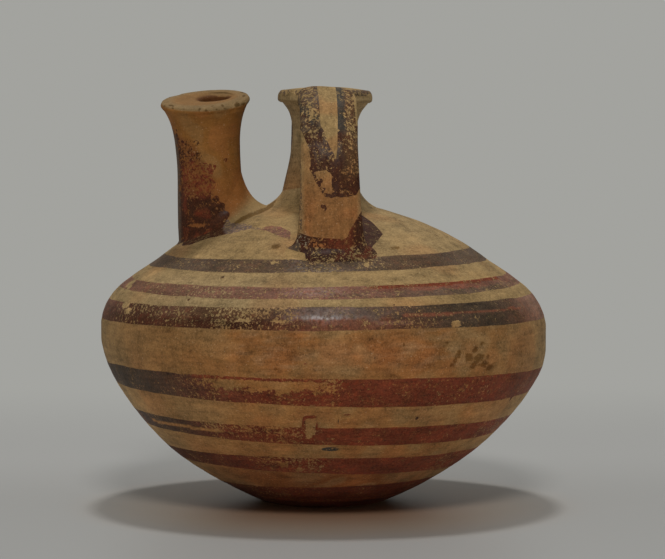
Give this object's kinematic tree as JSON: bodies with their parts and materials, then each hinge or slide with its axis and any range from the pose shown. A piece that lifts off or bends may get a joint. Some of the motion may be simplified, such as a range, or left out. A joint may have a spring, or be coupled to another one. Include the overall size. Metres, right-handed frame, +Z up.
{
  "type": "stirrup jar",
  "caption": "Small closed pottery jar with a rounded body, a closed false neck under a disc, strap handles arching to the shoulder and an open side spout.",
  "frame": {"origin": "on the ground under the jar's axis, in the middle of the foot", "axes": "+Z up along the jar's axis, handles at -Y (front) and +Y (rear), spout at -X"},
  "size_m": [0.1218, 0.1218, 0.1135],
  "materials": {
    "banded_clay": "fired buff clay with worn brown, red and black slip bands, low sheen",
    "plain_clay": "bare buff fired clay, matt",
    "stained_clay": "orange-brown fired clay with rubbed dark slip, matt",
    "striped_clay": "buff fired clay with worn dark stripes of slip, matt",
    "painted_clay": "dark brown slip over fired clay, worn, low sheen"
  },
  "bodies": {
    "root": {"body": "banded_clay", "false_neck": "plain_clay", "neck_disc": "plain_clay", "neck_collar": "plain_clay", "spout": "stained_clay", "spout_collar": "stained_clay", "front_handle": "striped_clay", "rear_handle": "striped_clay", "front_handle_root": "painted_clay", "rear_handle_root": "painted_clay"}
  },
  "joints": []
}
